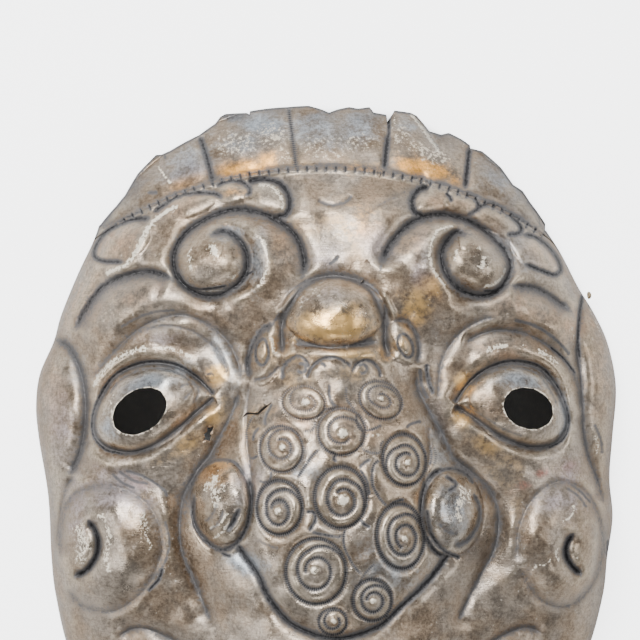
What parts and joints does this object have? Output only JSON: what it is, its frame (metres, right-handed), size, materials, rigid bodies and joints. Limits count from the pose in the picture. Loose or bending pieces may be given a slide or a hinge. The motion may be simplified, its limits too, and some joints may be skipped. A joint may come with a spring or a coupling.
{
  "type": "repousse silver mask",
  "caption": "Tarnished silver beast-faced mask raised from sheet, with torn crest, spiral brows, pierced eyes and a curled muzzle, lying face up.",
  "frame": {"origin": "on the floor under the middle of the mask as it lies face up", "axes": "+Z the way the face looks, +Y towards the crest, +X towards the picture's right"},
  "size_m": [0.2612, 0.3216, 0.0954],
  "materials": {
    "tarnished_silver": "worn, tarnished silver with dark grooves, bright ridges and traces of gilding",
    "tan_thread": "dry plant or cotton thread, matt"
  },
  "bodies": {
    "root": {"mask": "tarnished_silver", "tie_knot": "tan_thread"}
  },
  "joints": []
}
